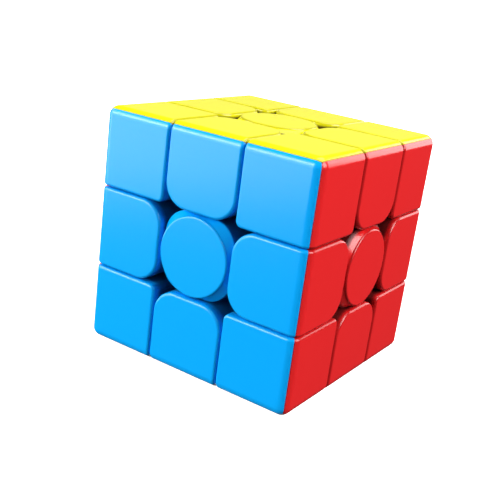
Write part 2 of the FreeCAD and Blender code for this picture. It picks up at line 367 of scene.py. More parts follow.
@dataclass(frozen=True)
class MouldedShell:
    """Satin-gloss coloured plastic, with a fine mould texture, a rougher skin down in the gaps, and painted
    shade that darkens the gaps with depth and the rounding at the seams.

    Attributes:
        name: The colour's name.
        colour: The plastic's colour.
        deep: The colour where the plastic has flowed thicker.
        shade: The painted shade colour far down a gap, which stands in for the shade there.
        gap_start: The depth below the cube's faces where the painted shade begins, in millimetres.
        gap_end: The depth where the painted shade is full, in millimetres.
        seam_shade: How much of the painted shade the rounding at the seams takes.
        gloss: The roughness of the clean faces.
        flow: The broad marks where the plastic has flowed.
        flow_band: The noise values between which flow marks come up.
        flow_tint: How much of the deep colour a flow mark takes.
        flow_dull: How much a flow mark adds to the roughness.
        speck: The small uneven spots.
        speck_band: The noise values between which spots come up.
        speck_tint: How much of the deep colour a spot takes.
        grain: The fine mould texture.
        wear_band: The noise values between which a rim is worn.
        wear_dull: How much wear adds to the roughness.
        gap_cover: How much of the painted shade a gap takes everywhere.
        gap_speck: How much more painted shade it takes where there are spots.
        gap_dull: How much a gap adds to the roughness.
        grain_share: The grain's part in the bump.
        speck_share: The spots' part in the bump.
        bump_depth: The depth of the bump, in millimetres.
        bump_strength: How much of the bump shows.
    """

    name: str
    colour: Rgb
    deep: Rgb
    shade: Rgb
    gap_start: float = 0.9
    gap_end: float = 3.0
    seam_shade: float = 0.0
    gloss: float = 0.18
    flow: Cloud = Cloud(0.045, 3.0)
    flow_band: Band = (0.35, 0.75)
    flow_tint: float = 0.10
    flow_dull: float = 0.03
    speck: Cloud = Cloud(0.9, 4.0, 0.65)
    speck_band: Band = (0.62, 0.8)
    speck_tint: float = 0.04
    grain: Cloud = Cloud(6.5, 3.0, 0.6)
    wear_band: Band = (0.45, 0.7)
    wear_dull: float = 0.03
    gap_cover: float = 0.92
    gap_speck: float = 0.08
    gap_dull: float = 0.35
    grain_share: float = 0.6
    speck_share: float = 0.4
    bump_depth: float = 0.0016
    bump_strength: float = 0.3

    def make(self) -> bpy.types.Material:
        """Builds the material.

        Returns:
            The material.
        """
        g = Graph(f"moulded_shell_{self.name}")
        flow, speck, grain = g.noise(self.flow), g.noise(self.speck), g.noise(self.grain)
        # Painted shade: the colour goes to the shade colour with depth below the faces, standing in for the
        # shade down in the gaps.
        gap = g.sunk().ramp(self.gap_start, self.gap_end)
        uneven = flow.ramp(*self.flow_band) * self.flow_tint + speck.ramp(*self.speck_band) * self.speck_tint
        colour = g.mixed(uneven, self.colour, self.deep)
        colour = g.mixed(gap * (self.gap_cover + speck * self.gap_speck), colour, self.shade)
        # Painted shade on the rounding at the seams, by the rim value.
        colour = g.mixed(g.mark(RIM) * self.seam_shade, colour, self.shade)
        worn = g.mark(RIM) * speck.ramp(*self.wear_band)
        rough = self.gloss + flow * self.flow_dull + worn * self.wear_dull + gap * self.gap_dull
        height = grain * self.grain_share + speck * self.speck_share
        bump = g.bump(height, self.bump_depth, self.bump_strength)
        return g.dress(Base_Color=colour, Roughness=rough, Normal=bump, Specular_IOR_Level=0.5)


@dataclass(frozen=True)
class FootNylon:
    """Matte dark moulded nylon with a spark-eroded texture.

    Attributes:
        name: The part that it is for.
        colour: The nylon's colour.
        worn: The colour where it is handled and polished.
        rough: The roughness before grain and polish.
        cloud: The broad uneven tint.
        cloud_band: The noise values between which the tint comes up.
        cloud_tint: How much of the worn colour the tint takes.
        polish: The polished patches.
        polish_band: The noise values between which the patches come up.
        polish_tint: How much of the worn colour a patch takes.
        polish_shine: How much a patch takes off the roughness.
        grain: The spark-eroded texture.
        grain_dull: How much the grain adds to the roughness.
        bump_depth: The depth of the grain, in millimetres.
        bump_strength: How much of the bump shows.
    """

    name: str
    colour: Rgb
    worn: Rgb
    rough: float = 0.5
    cloud: Cloud = Cloud(0.12, 4.0)
    cloud_band: Band = (0.35, 0.7)
    cloud_tint: float = 0.5
    polish: Cloud = Cloud(0.35)
    polish_band: Band = (0.5, 0.7)
    polish_tint: float = 0.3
    polish_shine: float = 0.12
    grain: Cloud = Cloud(3.2, 4.0, 0.7)
    grain_dull: float = 0.15
    bump_depth: float = 0.02
    bump_strength: float = 0.5

    def make(self) -> bpy.types.Material:
        """Builds the material.

        Returns:
            The material.
        """
        g = Graph(f"nylon_{self.name}")
        grain = g.noise(self.grain)
        polish = g.noise(self.polish).ramp(*self.polish_band)
        tint = g.noise(self.cloud).ramp(*self.cloud_band) * self.cloud_tint + polish * self.polish_tint
        rough = self.rough + grain * self.grain_dull - polish * self.polish_shine
        bump = g.bump(grain, self.bump_depth, self.bump_strength)
        return g.dress(Base_Color=g.mixed(tint, self.colour, self.worn), Roughness=rough, Normal=bump)


@dataclass(frozen=True)
class BrightSteel:
    """Plated steel with fine pits and dull stains.

    Attributes:
        name: The part that it is for.
        colour: The plating's colour.
        dull: The colour where it is stained.
        rough: The roughness before stains and pits.
        cloud: The broad uneven tint.
        cloud_tint: How much of the dull colour the tint takes.
        stain: The stains.
        stain_band: The noise values between which the stains come up.
        stain_tint: How much of the dull colour a stain takes.
        stain_dull: How much a stain adds to the roughness.
        pit: The fine pits.
        pit_dull: How much the pits add to the roughness.
        bump_depth: The depth of the pits, in millimetres.
        bump_strength: How much of the bump shows.
    """

    name: str
    colour: Rgb
    dull: Rgb
    rough: float = 0.24
    cloud: Cloud = Cloud(0.5, 4.0)
    cloud_tint: float = 0.5
    stain: Cloud = Cloud(1.4, 3.0)
    stain_band: Band = (0.55, 0.75)
    stain_tint: float = 0.4
    stain_dull: float = 0.12
    pit: Cloud = Cloud(9.0, 3.0, 0.7)
    pit_dull: float = 0.10
    bump_depth: float = 0.004
    bump_strength: float = 0.4

    def make(self) -> bpy.types.Material:
        """Builds the material.

        Returns:
            The material.
        """
        g = Graph(f"steel_{self.name}")
        pit = g.noise(self.pit)
        stain = g.noise(self.stain).ramp(*self.stain_band)
        tint = g.noise(self.cloud) * self.cloud_tint + stain * self.stain_tint
        colour = g.mixed(tint, self.colour, self.dull)
        rough = self.rough + stain * self.stain_dull + pit * self.pit_dull
        bump = g.bump(pit, self.bump_depth, self.bump_strength)
        return g.dress(Base_Color=colour, Metallic=1.0, Roughness=rough, Normal=bump)


@dataclass(frozen=True)
class PaleFloor:
    """A plain pale backdrop that gives off a little light of its own.

    Attributes:
        colour: The backdrop's colour.
        cloud: The broad uneven tint.
        darker: How bright the tint's dark end is, as a share of the colour.
        rough: The roughness.
        glow: The strength of its own light.
    """

    colour: Rgb = (0.93, 0.93, 0.93)
    cloud: Cloud = Cloud(0.02)
    darker: float = 0.985
    rough: float = 0.8
    glow: float = 1.1

    def make(self) -> bpy.types.Material:
        """Builds the material.

        Returns:
            The material.
        """
        g = Graph("pale_floor")
        tint = g.mixed(g.noise(self.cloud), self.colour, tuple(c * self.darker for c in self.colour))
        lit = {"Emission_Color": self.colour, "Emission_Strength": self.glow}
        return g.dress(Base_Color=tint, Roughness=self.rough, **lit)


# The third colour of each finish is its painted shade, for the gaps and the seams.
SHELL_FINISHES = {
    "yellow": MouldedShell(
        "yellow", (0.92, 0.88, 0.006), (0.88, 0.80, 0.004), (0.085, 0.042, 0.001), 0.4, 1.3, seam_shade=0.50
    ),
    "white": MouldedShell("white", (0.86, 0.86, 0.85), (0.74, 0.75, 0.76), (0.16, 0.16, 0.17)),
    "blue": MouldedShell(
        "blue", (0.001, 0.395, 0.96), (0.001, 0.36, 0.92), (0.0, 0.14, 0.34), seam_shade=0.2
    ),
    "green": MouldedShell("green", (0.01, 0.52, 0.10), (0.006, 0.40, 0.07), (0.002, 0.06, 0.012)),
    "red": MouldedShell(
        "red", (0.83, 0.018, 0.020), (0.79, 0.015, 0.017), (0.12, 0.001, 0.001), 0.45, 1.7, seam_shade=0.45
    ),
    "orange": MouldedShell("orange", (1.00, 0.19, 0.005), (0.84, 0.13, 0.004), (0.12, 0.02, 0.001)),
}
# How much deeper the painted shade starts on the centres, whose flared bases stand in the openings.
CENTRE_GAP_DELAY = 0.7
BLACK_NYLON = FootNylon("feet", (0.012, 0.012, 0.013), (0.028, 0.028, 0.030))
GREY_NYLON = FootNylon("core", (0.10, 0.10, 0.11), (0.15, 0.15, 0.16))
SCREW_STEEL = BrightSteel("screw", (0.70, 0.69, 0.66), (0.42, 0.41, 0.39))
WASHER_STEEL = BrightSteel("washer", (0.78, 0.77, 0.74), (0.52, 0.51, 0.49), 0.30)
SPRING_STEEL = BrightSteel("spring", (0.62, 0.62, 0.63), (0.33, 0.33, 0.34), 0.20)


# ---------------------------------------------------------------- mesh building


class Skin:
    """Collects faces in millimetres and joins the points that coincide."""

    def __init__(self) -> None:
        """Starts with no points."""
        self.points: list[Vector] = []
        self.marks: list[float] = []
        self.places: dict[tuple[int, int, int], int] = {}
        self.faces: list[list[int]] = []

    def point(self, at: Vector, mark: float = 0.0) -> int:
        """Finds the point at a place, or makes it.

        Args:
            at: The place.
            mark: The point's rim value, of which the highest given is kept.

        Returns:
            The point's number.
        """
        key = tuple(round(c * WELD_STEPS) for c in at)
        if key not in self.places:
            self.places[key] = len(self.points)
            self.points.append(at.copy())
            self.marks.append(mark)
        number = self.places[key]
        self.marks[number] = max(self.marks[number], mark)
        return number

    def face(self, corners: Sequence[Vector], mark: float = 0.0) -> None:
        """Adds a face, without corners that coincide.

        Args:
            corners: The corners in order.
            mark: Their rim value.
        """
        numbers = [self.point(c, mark) for c in corners]
        kept = [n for n, after in zip(numbers, numbers[1:] + numbers[:1]) if n != after]
        if len(set(kept)) > 2:
            self.faces.append(kept)

    def strip(self, low: Row, high: Row, closed: bool = False, mark: float = 0.0) -> None:
        """Joins two rows of points with a band of faces.

        Args:
            low: One row.
            high: The other row, of the same length.
            closed: Whether the rows are loops.
            mark: The rim value of the band's points.
        """
        count = len(low)
        for i in range(count if closed else count - 1):
            j = (i + 1) % count
            self.face([low[i], low[j], high[j], high[i]], mark)

    def bands(self, rows: Sequence[Row], closed: bool = False, marks: Sequence[float] | None = None) -> None:
        """Joins each row to the next.

        Args:
            rows: The rows, all of the same length.
            closed: Whether the rows are loops.
            marks: Each row's rim value.
        """
        for low, high in zip(rows, rows[1:]):
            self.strip(low, high, closed)
        for row, mark in zip(rows, marks or []):
            for at in row:
                self.point(at, mark)

    def fill(self, outside: Row, *holes: Row) -> None:
        """Covers a flat region that has holes in it.

        Args:
            outside: The region's outline.
            holes: The outline of each hole.
        """
        loops = [outside, *holes]
        flat = [at for loop in loops for at in loop]
        for triangle in tessellate_polygon(loops):
            self.face([flat[i] for i in triangle])

    def mesh(self, name: str) -> bpy.types.Mesh:
        """The collected faces as a mesh, in metres, with its normals outward.

        Args:
            name: The mesh's name.

        Returns:
            The mesh, with the rim values on its points.
        """
        mesh = bpy.data.meshes.new(name)
        mesh.from_pydata([p * MM for p in self.points], [], self.faces)
        rims = mesh.attributes.new(RIM, "FLOAT", "POINT")
        rims.data.foreach_set("value", self.marks)
        shape = bmesh.new()
        shape.from_mesh(mesh)
        bmesh.ops.recalc_face_normals(shape, faces=shape.faces)
        loose = sum(1 for edge in shape.edges if not edge.is_manifold)
        if loose:
            LOG.warning("%s has %d open edges", name, loose)
        shape.to_mesh(mesh)
        shape.free()
        mesh.shade_smooth()
        mesh.set_sharp_from_angle(angle=math.radians(SHARP_DEGREES))
        return mesh


def turning(z_to: Vector, y_to: Vector) -> Matrix:
    """The rotation that carries +Z to z_to and +Y to y_to."""
    return Matrix((y_to.cross(z_to), y_to, z_to)).transposed().to_4x4()


def across(axis: Vector) -> Vector:
    """Any row axis at right angles to axis."""
    return Vector((0, 0, 1)) if abs(axis.z) < 0.5 else Vector((0, 1, 0))


def piece(mesh: bpy.types.Mesh, name: str, place: Matrix, finish: bpy.types.Material) -> bpy.types.Object:
    """Stands a copy of a template mesh in its place and dresses it.

    Args:
        mesh: The template, facing +Z.
        name: The piece's name.
        place: Where it goes.
        finish: Its material.

    Returns:
        The new object.
    """
    copy = mesh.copy()
    copy.name = name
    copy.transform(place)
    copy.materials.clear()
    copy.materials.append(finish)
    made = bpy.data.objects.new(name, copy)
    bpy.context.scene.collection.objects.link(made)
    soften = made.modifiers.new("even_normals", "WEIGHTED_NORMAL")
    soften.mode = "FACE_AREA"
    soften.weight = FLAT_WEIGHT
    soften.keep_sharp = True
    return made


def seat(made: bpy.types.Object, body: str, node: str) -> None:
    """Makes a piece ride on its body and stand for its CAD node.

    Args:
        made: The piece.
        body: The CAD body that carries it.
        node: The CAD node that it replaces.
    """
    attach(made, body)
    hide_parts(node)
    LOG.info("%s rides on %s", made.name, body)


def ring(radius: float, height: float, count: int, x: float = 0.0, y: float = 0.0) -> Row:
    """A level circle of points."""
    turns = (2 * math.pi * i / count for i in range(count))
    return [Vector((x + radius * math.cos(t), y + radius * math.sin(t), height)) for t in turns]


def steps(start: float, end: float, count: int) -> list[float]:
    """Evenly spaced values, with both ends."""
    return [start + (end - start) * i / count for i in range(count + 1)]


# ---------------------------------------------------------------- corner and edge blocks


@dataclass(frozen=True)
class Station:
    """One place on a tile's outline.

    Attributes:
        root: The point on the outline, down at the height of the rounding's centre.
        out: The direction away from the tile, across the seam.
        lift: The surface's direction there, which leans over on the cube's rounded edge.
        radius: How far the surface is from root, along lift.
    """

    root: Vector
    out: Vector
    lift: Vector
    radius: float


@dataclass
class ShellMould:
    """Builds the tile-shaped shells that plug onto a block's foot."""

    face: float = HALF_SIDE
    near: float = 9.65
    beside: float = 9.35
    edge_round: float = 2.3
    seam_round: float = 0.7
    wall: float = 1.25
    mitre_ease: float = 0.09
    ball: float = 20.65
    post_place: float = 18.5
    post_end: float = 21.6
    post_radius: float = 2.2
    peg_radius: float = 1.2
    peg_length: float = 1.9
    peg_lead: float = 0.3
    peg_taper: float = 0.25
    post_ease: float = 0.1
    fillet_width: float = 0.35
    fillet_height: float = 0.4
    fillet_waist: float = 0.08
    fillet_waist_drop: float = 0.12
    post_steps: int = 32
    seam_steps: int = 8
    roll_steps: int = 8
    arc_steps: int = 14

    @property
    def bend(self) -> float:
        """How far out the flat of a tile reaches, where the cube's rounded edge starts."""
        return self.face - self.edge_round

    def rolls(self) -> list[tuple[float, float]]:
        """The steps over the cube's rounded edge, as far as the colour seam.

        Returns:
            The lean and the radius at each step.
        """
        ease = self.mitre_ease / self.edge_round
        angles = steps(0, math.pi / 4 - ease, self.roll_steps)
        leans = [(math.tan(a), self.edge_round) for a in angles]
        return leans + [(1.0, self.edge_round - self.mitre_ease)]

    def rolled(self, x: float, y: float, out: Vector, side: Vector) -> list[Station]:
        """The stations over the cube's edge at one end of the outline.

        Args:
            x: The outline's place.
            y: The outline's place.
            out: The direction across the seam.
            side: The direction towards the cube's edge.

        Returns:
            The stations from the flat to the colour seam.
        """
        root = Vector((x, y, self.bend))
        up = Vector((0, 0, 1))
        return [Station(root, out, (up + side * lean).normalized(), radius) for lean, radius in self.rolls()]

    def level(self, x: float, y: float, out: Vector) -> Station:
        """A station on the flat of the tile."""
        return Station(Vector((x, y, self.bend)), out, Vector((0, 0, 1)), self.edge_round)

    def arc(self, x: float, y: float, radius: float, start: float, end: float) -> list[Station]:
        """The stations round a corner of the outline.

        Args:
            x: The corner's centre.
            y: The corner's centre.
            radius: The corner's radius.
            start: The first angle, in degrees.
            end: The last angle, in degrees.

        Returns:
            The stations.
        """
        made = []
        for turn in steps(math.radians(start), math.radians(end), self.arc_steps):
            out = Vector((math.cos(turn), math.sin(turn), 0))
            made.append(self.level(x + radius * out.x, y + radius * out.y, out))
        return made

    def skim(self, station: Station, turn: float) -> Vector:
        """A point on a station's seam rounding.

        Args:
            station: The station.
            turn: The angle, which is 0 on the tile and a quarter turn at the wall.

        Returns:
            The point.
        """
        drop = station.radius - self.seam_round * (1 - math.cos(turn))
        inset = -self.seam_round * (1 - math.sin(turn))
        return station.root + station.lift * drop + station.out * inset

    def floor_height(self, x: float, y: float) -> float:
        """Where a wall stops: on the ball that the layers turn on, or at the seam with the next shell."""
        room = self.ball**2 - x**2 - y**2
        return max(math.sqrt(max(room, 0.0)), x, y)

    def dropped(self, at: Vector) -> Vector:
        """The foot of the wall below a point."""
        return Vector((at.x, at.y, min(self.floor_height(at.x, at.y), at.z)))

    def lining(self, station: Station) -> Vector:
        """The point on the inside of the wall, under the ceiling, that faces a station.

        Args:
            station: The station.

        Returns:
            The point.
        """
        inside = station.root - station.out * self.wall
        ceiling = self.face - self.wall
        lean = station.lift / station.lift.z
        over = ceiling - self.bend if station.radius < self.edge_round else 0.0
        return Vector((inside.x + lean.x * over, inside.y + lean.y * over, ceiling))

    def shell(self, path: list[Station], patch: bool, post_x: float) -> Skin:
        """Builds one shell from its outline.

        Args:
            path: The stations from one colour seam round the tile to the other.
            patch: Whether two of the cube's edges meet at this tile.
            post_x: Where its post stands.

        Returns:
            The closed shell.
        """
        skin = Skin()
        turns = steps(0, math.pi / 2, self.seam_steps)
        rows = [[self.skim(s, t) for s in path] for t in turns]
        marks = [math.sin(2 * t) for t in turns]
        skin.bands(rows, marks=marks)
        outer_foot = [self.dropped(at) for at in rows[-1]]
        skin.strip(rows[-1], outer_foot)
        inner_top = [self.lining(s) for s in path]
        inner_foot = [self.dropped(at) for at in inner_top]
        skin.strip(inner_top, inner_foot)
        skin.strip(outer_foot, inner_foot)
        last = len(self.rolls())
        head, tail = rows[0][:last][::-1], rows[0][-last:]
        flat = rows[0][last - 1 : len(path) - last + 1]
        ceiling = inner_top[:1]
        ceiling += [at for before, at in zip(inner_top, inner_top[1:]) if (at - before).length > SAME_PLACE]
        for end in (0, -1):
            fan = [row[end] for row in rows]
            for a, b in zip(fan, fan[1:]):
                skin.face([inner_top[end], a, b])
        if patch:
            grid = [[self.dome(a, b) for b in self.rolls()] for a in self.rolls()]
            skin.strip(head, [row[0] for row in grid])
            skin.strip(grid[0], tail)
            skin.bands(grid)
            deep = Vector((self.face - self.wall,) * 3)
            skin.face([inner_top[0], head[-1], *grid[-1], deep])
            skin.face([inner_top[-1], tail[-1], *(row[-1] for row in grid), deep])
            flat.append(grid[0][0])
            ceiling.append(deep)
            for seam in (grid[-2], [row[-2] for row in grid]):
                for at in seam:
                    skin.point(at, 1.0)
        else:
            skin.strip(head, tail)
            skin.face([inner_top[0], head[-1], tail[-1], inner_top[-1]])
        for at in (head[-2], tail[-2]):
            skin.point(at, 1.0)
        skin.face(flat)
        self.post(skin, ceiling, post_x)
        return skin

    def dome(self, a: tuple[float, float], b: tuple[float, float]) -> Vector:
        """A point on the rounding at the cube's corner, from its leans to both sides."""
        radius = min(a[1], b[1])
        return Vector((self.bend,) * 3) + Vector((a[0], b[0], 1)).normalized() * radius

    def post(self, skin: Skin, ceiling: Row, x: float) -> None:
        """Closes the ceiling round a post, and ends the post in a chamfered peg.

        Args:
            skin: The shell's faces.
            ceiling: The ceiling's outline.
            x: Where the post stands.
        """
        top = self.face - self.wall
        tip = self.post_end - self.peg_length
        profile = (
            (self.post_radius + self.fillet_width, top),
            (self.post_radius + self.fillet_waist, top - self.fillet_waist_drop),
            (self.post_radius, top - self.fillet_height),
            (self.post_radius, self.post_end + self.post_ease),
            (self.post_radius - self.post_ease, self.post_end),
            (self.peg_radius, self.post_end),
            (self.peg_radius, tip + self.peg_lead),
            (self.peg_radius - self.peg_taper, tip),
        )
        rings = [ring(r, z, self.post_steps, x, self.post_place) for r, z in profile]
        skin.fill(ceiling, rings[0])
        skin.bands(rings, closed=True)
        skin.face(rings[-1])


@dataclass
class Blocks:
    """The eight corner blocks and the twelve edge blocks, each with its coloured shells."""

    mould: ShellMould
    finishes: dict[str, bpy.types.Material]
    corner_round: float = 1.5
    edge_tile_round: float = 5.6

    def corner_mesh(self) -> bpy.types.Mesh:
        """The shell of the corner block at +X, +Y, +Z, with its tile up.

        Returns:
            The template mesh.
        """
        m, low, r = self.mould, self.mould.near, self.corner_round
        down, left = Vector((0, -1, 0)), Vector((-1, 0, 0))
        along = m.rolled(m.bend, low, down, Vector((1, 0, 0)))[::-1]
        meet = math.sqrt((m.ball**2 - low**2) / 2)
        path = [*along, m.level(meet, low, down)]
        path += m.arc(low + r, low + r, r, 270, 180)
        path += [m.level(low, meet, left), *m.rolled(low, m.bend, left, Vector((0, 1, 0)))]
        return m.shell(path, True, m.post_place).mesh("corner_shell")

    def edge_mesh(self) -> bpy.types.Mesh:
        """The shell of the edge block at +Y, +Z, with its tile up.

        Returns:
            The template mesh.
        """
        m, low, half, r = self.mould, self.mould.near, self.mould.beside, self.edge_tile_round
        right, left, side = Vector((1, 0, 0)), Vector((-1, 0, 0)), Vector((0, 1, 0))
        path = m.rolled(half, m.bend, right, side)[::-1]
        path += m.arc(half - r, low + r, r, 0, -90)
        path += m.arc(r - half, low + r, r, 270, 180)
        path += m.rolled(-half, m.bend, left, side)
        return m.shell(path, False, 0.0).mesh("edge_shell")

    def place(self, signs: tuple[int, int, int], face: Face) -> Matrix:
        """Carries a template shell to a block, with its tile on a face of it.

        Args:
            signs: The block's place along X, Y and Z, each -1, 0 or 1.
            face: The face that the tile is on.

        Returns:
            The placement.
        """
        others = [f.axis for f in faces_of(signs) if f is not face]
        side = others[0]
        if len(others) == 2 and side.cross(face.axis).dot(Vector(signs)) < 0:
            side = others[1]
        return turning(face.axis, side)

    def build(self) -> None:
        """Makes all the shells."""
        for kind, shown, mesh in (("corner", 3, self.corner_mesh()), ("edge", 2, self.edge_mesh())):
            for signs in itertools.product((-1, 0, 1), repeat=3):
                if sum(map(abs, signs)) != shown:
                    continue
                shown_faces = faces_of(signs)
                block = "_".join(f.word for f in shown_faces)
                level = level_of(signs[2])
                for face in shown_faces:
                    name = f"{block}_{kind}_{face.colour}_shell"
                    made = piece(mesh, name, self.place(signs, face), self.finishes[face.colour])
                    node = f"{kind}_shells_{level.word}_{face.colour}"
                    seat(made, level.body, node)


def faces_of(signs: Sequence[int]) -> list[Face]:
    """The faces of the cube that a block shows."""
    return [f for f in Face if f.axis.dot(Vector(signs)) > 0.5]


# ---------------------------------------------------------------- centres


def squared(half: float, corner: float, turn: float) -> float:
    """How far a rounded square's outline is from its centre.

    Args:
        half: Half of the square's side.
        corner: The radius of its corners.
        turn: The direction to look in.

    Returns:
        The distance.
    """
    x, y = abs(math.cos(turn)), abs(math.sin(turn))
    x, y = max(x, y), min(x, y)
    flat = half - corner
    if half * y / x <= flat:
        return half / x
    along = flat * (x + y)
    return along + math.sqrt(along**2 - 2 * flat**2 + corner**2)


@dataclass
class Centre:
    """A centre block: the base that the screw holds to the core, and its snap-in cap."""

    finishes: dict[str, bpy.types.Material]
    face: float = HALF_SIDE
    cap_radius: float = 9.05
    cap_thickness: float = 2.0
    cap_rim: float = 0.5
    cap_round: float = 0.45
    cap_seam: float = 0.05
    leg_radius: float = 7.4
    leg_wall: float = 1.1
    leg_length: float = 2.4
    leg_slot: float = 5.0
    leg_lead: float = 0.35
    leg_taper: float = 0.25
    base_half: float = 9.3
    base_round: float = 6.0
    pocket_radius: float = 7.5
    pocket_floor: float = 22.3
    pocket_round: float = 0.3
    pocket_lip: float = 0.2
    outer_ball: float = 20.65
    base_ease: float = 0.1
    flange_half: float = 7.05
    flange_round: float = 0.4
    inner_ball: float = 16.15
    stalk_radius: float = 4.7
    stalk_end: float = 7.6
    stalk_ease: float = 0.3
    socket_radius: float = 3.45
    socket_end: float = 10.6
    spring_seat: float = 12.2
    spring_bore: float = 3.6
    bore_ease: float = 0.25
    screw_hole: float = 1.6
    flare_steps: int = 8
    rim_steps: int = 10
    leg_steps: int = 8
    count: int = 96

    def loop(self, reach: Callable[[float], float], ball: float = 0.0, height: float = 0.0) -> Row:
        """A closed row of points round the Z axis.

        Args:
            reach: The distance from the axis at each angle.
            ball: The radius of the ball that the row lies on, or 0 for a level row.
            height: A level row's height.

        Returns:
            The row.
        """
        made = []
        for i in range(self.count):
            turn = 2 * math.pi * i / self.count
            out = reach(turn)
            z = math.sqrt(ball**2 - out**2) if ball else height
            made.append(Vector((out * math.cos(turn), out * math.sin(turn), z)))
        return made

    def block(self, turn: float) -> float:
        """The reach of the rounded square block."""
        return squared(self.base_half, self.base_round, turn)

    def eased_block(self, turn: float) -> float:
        """The reach of the block where its edge is eased."""
        return self.block(turn) - self.base_ease

    def flare(self, share: float) -> Callable[[float], float]:
        """The reach of the cap's side, part of the way up from the block to the round top.

        Args:
            share: 0 at the block and 1 at the round top.

        Returns:
            The reach at each angle.
        """

        def reach(turn: float) -> float:
            """The reach at one angle."""
            return (1 - share) * self.block(turn) + share * self.cap_radius

        return reach

    def flange(self, turn: float) -> float:
        """The reach of the square flange."""
        return squared(self.flange_half, self.flange_round, turn)

    def stalk(self, turn: float) -> float:
        """The reach of the round stalk, which is the same at every angle."""
        return self.stalk_radius

    def base_mesh(self) -> bpy.types.Mesh:
        """The base: a rounded square block on a flange and a hollow stalk.

        Returns:
            The template mesh.
        """
        skin = Skin()
        top = self.face - self.cap_thickness - self.cap_seam
        rows = [
            self.loop(self.eased_block, height=top),
            self.loop(self.block, height=top - self.base_ease),
            self.loop(self.block, ball=self.outer_ball),
            self.loop(self.flange, ball=self.outer_ball),
            self.loop(self.flange, ball=self.inner_ball),
            self.loop(self.stalk, ball=self.inner_ball),
        ]
        for radius, z in (
            (self.stalk_radius, self.stalk_end + self.stalk_ease),
            (self.stalk_radius - self.stalk_ease, self.stalk_end),
            (self.socket_radius + self.bore_ease, self.stalk_end),
            (self.socket_radius, self.stalk_end + self.bore_ease),
            (self.socket_radius, self.socket_end),
            (self.screw_hole, self.socket_end),
            (self.screw_hole, self.spring_seat),
            (self.spring_bore, self.spring_seat),
            (self.spring_bore, self.pocket_floor - self.bore_ease),
            (self.spring_bore + self.bore_ease, self.pocket_floor),
            (self.pocket_radius - self.pocket_round, self.pocket_floor),
            (self.pocket_radius, self.pocket_floor + self.pocket_round),
            (self.pocket_radius, top - self.pocket_lip),
            (self.pocket_radius + self.pocket_lip, top),
        ):
            rows.append(ring(radius, z, self.count))
        skin.bands([*rows, rows[0]], closed=True)
        return skin.mesh("centre_base")

    def leg_outline(self, quarter: int, height: float, ease: float = 0.0) -> Row:
        """One curved leg's outline, seen from above.

        Args:
            quarter: Which of the four legs it is.
            height: The outline's height.
            ease: How far the outline is taken in.

        Returns:
            The outline.
        """
        outer, inner = self.leg_radius - ease, self.leg_radius - self.leg_wall + ease
        half = self.leg_slot / 2 + ease
        made = []
        for radius, way in ((outer, 1), (inner, -1)):
            start = math.asin(half / radius)
            for turn in steps(start, math.pi / 2 - start, self.leg_steps)[::way]:
                turn += quarter * math.pi / 2
                made.append(Vector((radius * math.cos(turn), radius * math.sin(turn), height)))
        return made

    def cap_mesh(self) -> bpy.types.Mesh:
        """The cap: a round top with a rounded rim, a flare to a rounded square, and four curved legs.

        Returns:
            The template mesh.
        """
        skin = Skin()
        seat_height = self.face - self.cap_thickness
        low, high = seat_height + self.base_ease, self.face - self.cap_rim
        rows = [self.loop(self.eased_block, height=seat_height)]
        for share in steps(0, 1, self.flare_steps):
            rows.append(self.loop(self.flare(share), height=low + (high - low) * share))
        marks = [0.0] * len(rows)
        for turn in steps(0, math.pi / 2, self.rim_steps):
            reach = self.cap_radius - self.cap_round * (1 - math.cos(turn))
            rows.append(ring(reach, self.face - self.cap_round * (1 - math.sin(turn)), self.count))
            marks.append(math.sin(2 * turn))
        skin.bands(rows, closed=True, marks=marks)
        skin.face(rows[-1])
        holes = []
        foot = seat_height - self.leg_length
        for quarter in range(4):
            outlines = [
                self.leg_outline(quarter, seat_height),
                self.leg_outline(quarter, foot + self.leg_lead),
                self.leg_outline(quarter, foot, self.leg_taper),
            ]
            skin.bands(outlines, closed=True)
            skin.face(outlines[-1])
            holes.append(outlines[0])
        skin.fill(rows[0], *holes)
        return skin.mesh("centre_cap")

    def build(self) -> None:
        """Makes the six bases and the six caps."""
        base, cap = self.base_mesh(), self.cap_mesh()
        for face in Face:
            place = turning(face.axis, across(face.axis))
            body = level_of(face.axis.z).body
            finish, slot = self.finishes[face.colour], f"{face.colour}_shell"
            made = piece(base, f"{face.word}_centre_base", place, finish)
            seat(made, body, f"centre_base_{face.word}")
            made = piece(cap, f"{face.word}_centre_cap", place, finish)
            seat(made, f"{face.word}_cap", f"centre_cap_{face.word}")


# ---------------------------------------------------------------- screws, washers and springs


